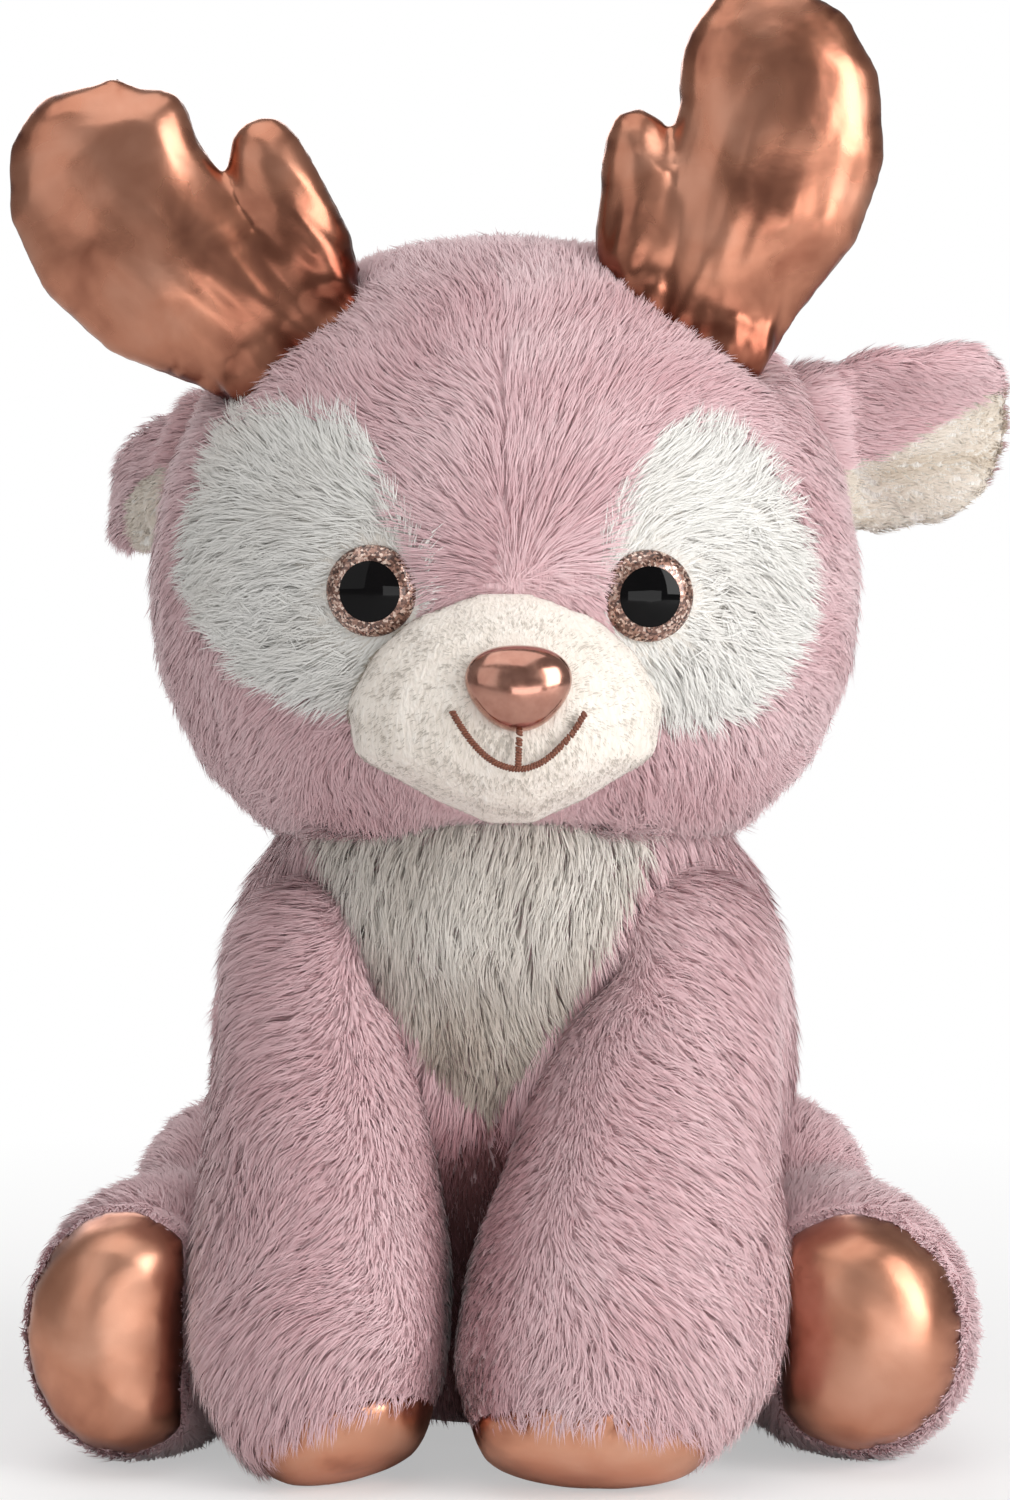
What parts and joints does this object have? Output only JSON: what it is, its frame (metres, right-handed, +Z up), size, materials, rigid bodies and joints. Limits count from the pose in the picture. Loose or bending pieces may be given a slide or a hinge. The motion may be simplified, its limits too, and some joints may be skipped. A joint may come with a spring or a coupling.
{
  "type": "plush deer",
  "caption": "Seated plush deer with padded foil antlers, button eyes and nose, cloth covers over stuffing, and head, ears, antlers, legs and tail that turn at their seams.",
  "frame": {"origin": "on the floor, under the middle of the whole toy's bounding box width and near the middle of the seat from front to back", "axes": "+Z up; -Y is the way the toy faces; +X is the toy's own left"},
  "size_m": [0.2818, 0.2408, 0.4046],
  "materials": {
    "pink_plush": "long pile plush, dusty pink",
    "white_plush": "long pile plush, warm white",
    "cream_velour": "short pile velour, cream",
    "rose_foil": "crinkled foil-coated cloth, rose copper sheen",
    "rose_gold": "smooth metallised rose gold plastic",
    "eye_black": "glossy black",
    "eye_glitter": "clear plastic over glitter",
    "thread": "metallic brown embroidery thread",
    "washer": "plain white",
    "stuffing": "polyester fibre filling",
    "pellets": "bag of small plastic pellets"
  },
  "bodies": {
    "torso": {"body_cover": "pink_plush", "chest_bib": "white_plush", "body_stuffing": "stuffing", "pellet_bag": "pellets"},
    "neck": {"neck_stuffing": "stuffing"},
    "head": {"head_cover": "pink_plush", "head_stuffing": "stuffing", "eye_patch_left": "white_plush", "eye_patch_right": "white_plush", "muzzle_cover": "cream_velour", "muzzle_stuffing": "stuffing", "nose": "rose_gold", "nose_washer": "washer", "mouth_stitching": "thread", "eye_left": "eye_black", "eye_right": "eye_black", "eye_glitter_left": "eye_glitter", "eye_glitter_right": "eye_glitter", "eye_washer_left": "washer", "eye_washer_right": "washer"},
    "tail": {"tail": "pink_plush"},
    "ear_left": {"ear_back_left": "pink_plush", "ear_lining_left": "cream_velour"},
    "antler_left": {"antler_front_left": "rose_foil", "antler_back_left": "rose_foil", "antler_stuffing_left": "stuffing"},
    "front_leg_left": {"front_leg_left": "pink_plush", "front_sole_left": "rose_foil", "front_leg_stuffing_left": "stuffing"},
    "hind_leg_left": {"hind_leg_left": "pink_plush", "hind_pad_left": "rose_foil", "hind_leg_stuffing_left": "stuffing"},
    "ear_right": {"ear_back_right": "pink_plush", "ear_lining_right": "cream_velour"},
    "antler_right": {"antler_front_right": "rose_foil", "antler_back_right": "rose_foil", "antler_stuffing_right": "stuffing"},
    "front_leg_right": {"front_leg_right": "pink_plush", "front_sole_right": "rose_foil", "front_leg_stuffing_right": "stuffing"},
    "hind_leg_right": {"hind_leg_right": "pink_plush", "hind_pad_right": "rose_foil", "hind_leg_stuffing_right": "stuffing"}
  },
  "joints": [
    {"name": "head_turn", "type": "hinge", "parent": "torso", "child": "neck", "pos_m": [0, 0.006, 0.141], "axis": [0, 0, 1], "range_deg": [-25, 25], "stiffness_Nm_per_rad": 1},
    {"name": "head_nod", "type": "hinge", "parent": "neck", "child": "head", "pos_m": [0, 0.006, 0.141], "axis": [1, 0, 0], "range_deg": [-6, 8], "stiffness_Nm_per_rad": 3},
    {"name": "ear_left_flap", "type": "hinge", "parent": "head", "child": "ear_left", "pos_m": [0.08825, 0.01237, 0.27446], "axis": [0.1226, 0.5094, -0.8517], "range_deg": [-20, 20], "stiffness_Nm_per_rad": 0.08},
    {"name": "antler_left_sway", "type": "hinge", "parent": "head", "child": "antler_left", "pos_m": [0.052, -0.024, 0.3088], "axis": [-0.8829, 0, 0.4695], "range_deg": [-10, 10], "stiffness_Nm_per_rad": 0.5},
    {"name": "front_leg_left_swing", "type": "hinge", "parent": "torso", "child": "front_leg_left", "pos_m": [0.0465, -0.026, 0.129], "axis": [-1, 0, 0], "range_deg": [0, 32]},
    {"name": "hind_leg_left_lift", "type": "hinge", "parent": "torso", "child": "hind_leg_left", "pos_m": [0.079, 0.007, 0.0445], "axis": [-0.9707, -0.2403, 0], "range_deg": [0, 12]},
    {"name": "ear_right_flap", "type": "hinge", "parent": "head", "child": "ear_right", "pos_m": [-0.0901, 0.01472, 0.26859], "axis": [0.317, 0.3906, 0.8642], "range_deg": [-12, 20], "stiffness_Nm_per_rad": 0.08},
    {"name": "antler_right_sway", "type": "hinge", "parent": "head", "child": "antler_right", "pos_m": [-0.0585, -0.024, 0.30339], "axis": [-0.766, 0, -0.6428], "range_deg": [-10, 10], "stiffness_Nm_per_rad": 0.5},
    {"name": "front_leg_right_swing", "type": "hinge", "parent": "torso", "child": "front_leg_right", "pos_m": [-0.051, -0.026, 0.129], "axis": [-1, 0, 0], "range_deg": [0, 32]},
    {"name": "hind_leg_right_lift", "type": "hinge", "parent": "torso", "child": "hind_leg_right", "pos_m": [-0.079, 0.007, 0.0445], "axis": [-0.9576, 0.2882, 0], "range_deg": [0, 12]},
    {"name": "tail_lift", "type": "hinge", "parent": "torso", "child": "tail", "pos_m": [0, 0.07399, 0.052], "axis": [1, 0, 0], "range_deg": [-8, 15], "stiffness_Nm_per_rad": 0.05}
  ]
}
